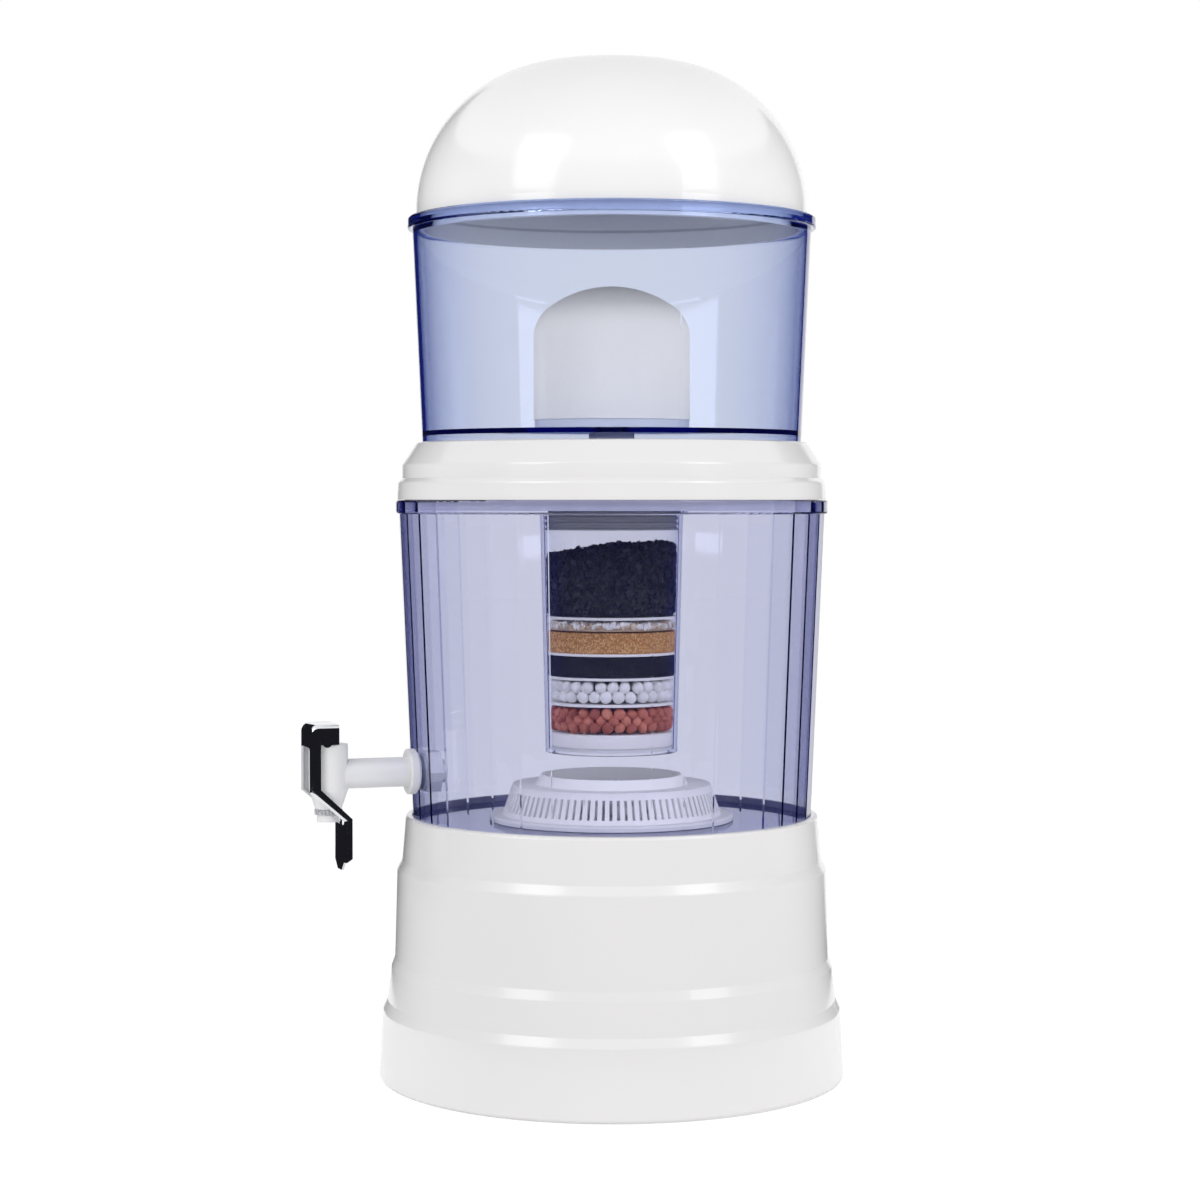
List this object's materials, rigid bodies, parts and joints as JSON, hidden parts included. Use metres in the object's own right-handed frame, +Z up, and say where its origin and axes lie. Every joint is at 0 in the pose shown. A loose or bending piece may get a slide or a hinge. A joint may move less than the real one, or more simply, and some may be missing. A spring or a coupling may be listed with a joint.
{
  "type": "gravity water filter with tap",
  "caption": "Stacked gravity water filter: dome lid, clear upper container with ceramic dome, layered cartridge in a faceted clear tank, lever tap and stepped stand.",
  "frame": {"origin": "centre of the stand's foot, on the surface that it stands on", "axes": "+Z up the common axis of the stacked parts; -Y towards the tap; +X to the right of someone who faces the tap"},
  "size_m": [0.2698, 0.3169, 0.5873],
  "materials": {
    "white_gloss": "glossy injection-moulded white plastic",
    "clear_blue": "clear light-blue plastic, navy on edge",
    "clear_lavender": "clear lavender-blue plastic, navy on edge",
    "ceramic": "matt porous off-white ceramic",
    "white_fitting": "satin white moulded plastic",
    "clear_case": "clear colourless plastic",
    "smoke_cap": "translucent grey plastic with a thread",
    "separator": "white felt-like mesh disc",
    "pad": "white non-woven filter pad",
    "carbon": "black crushed carbon granules",
    "sand": "tan sand",
    "chips": "white and tan stone chips",
    "white_balls": "white ceramic balls",
    "red_balls": "red-brown ceramic balls",
    "milky_case": "milky translucent plastic",
    "grey_stones": "grey mineral stones",
    "silicone": "translucent silicone",
    "steel": "stainless steel",
    "chrome": "bright chrome plate on pressed steel"
  },
  "bodies": {
    "stand": {"base_stand": "white_gloss"},
    "tank": {"lower_tank": "clear_lavender", "tap_body": "white_fitting", "tap_outer_washer": "silicone", "tap_inner_washer": "silicone", "tap_lock_nut": "white_fitting", "spout_ring": "white_fitting", "tap_bonnet": "white_fitting", "pivot_pin": "steel", "valve_spring": "steel"},
    "cover": {"tank_cover": "white_gloss"},
    "container": {"upper_container": "clear_blue", "ceramic_dome": "ceramic", "ceramic_base": "white_fitting", "stem_washer": "silicone", "stem_nut": "white_fitting"},
    "lid": {"dome_lid": "white_gloss"},
    "cartridge": {"cartridge_case": "clear_case", "cartridge_grid": "white_fitting", "outlet_pad": "pad", "red_ball_bed": "red_balls", "lower_separator": "separator", "white_ball_bed": "white_balls", "middle_separator": "separator", "fine_carbon_bed": "carbon", "upper_separator": "separator", "sand_bed": "sand", "chip_bed": "chips", "top_separator": "separator", "carbon_bed": "carbon", "cartridge_cap": "smoke_cap"},
    "mineral_case": {"mineral_tray": "milky_case", "mineral_cage": "milky_case", "mineral_stones": "grey_stones"},
    "lever": {"tap_lever": "chrome"},
    "valve": {"valve_stem": "white_fitting", "valve_plug": "silicone"}
  },
  "joints": [
    {"name": "tank_lift", "type": "slide", "parent": "stand", "child": "tank", "axis": [0, 0, 1], "range_m": [0, 0.06]},
    {"name": "cover_lift", "type": "slide", "parent": "tank", "child": "cover", "axis": [0, 0, 1], "range_m": [0, 0.04]},
    {"name": "container_lift", "type": "slide", "parent": "cover", "child": "container", "axis": [0, 0, 1], "range_m": [0, 0.2]},
    {"name": "lid_lift", "type": "slide", "parent": "container", "child": "lid", "axis": [0, 0, 1], "range_m": [0, 0.12]},
    {"name": "cartridge_unscrew", "type": "hinge", "parent": "container", "child": "cartridge", "pos_m": [0, 0, 0.35], "axis": [0, 0, 1], "range_deg": [0, 270]},
    {"name": "mineral_case_lift", "type": "slide", "parent": "tank", "child": "mineral_case", "axis": [0, 0, 1], "range_m": [0, 0.01]},
    {"name": "lever_press", "type": "hinge", "parent": "tank", "child": "lever", "pos_m": [0, -0.1726, 0.1994], "axis": [1, 0, 0], "range_deg": [0, 12], "stiffness_Nm_per_rad": 0.6, "springref_deg": -8.59},
    {"name": "valve_lift", "type": "slide", "parent": "tank", "child": "valve", "axis": [0, 0, 1], "range_m": [0, 0.0008], "deforming": ["valve_spring"]}
  ],
  "couplings": [
    {"joint": "valve_lift", "follows": "lever_press", "m_per_rad": 0.0038}
  ]
}
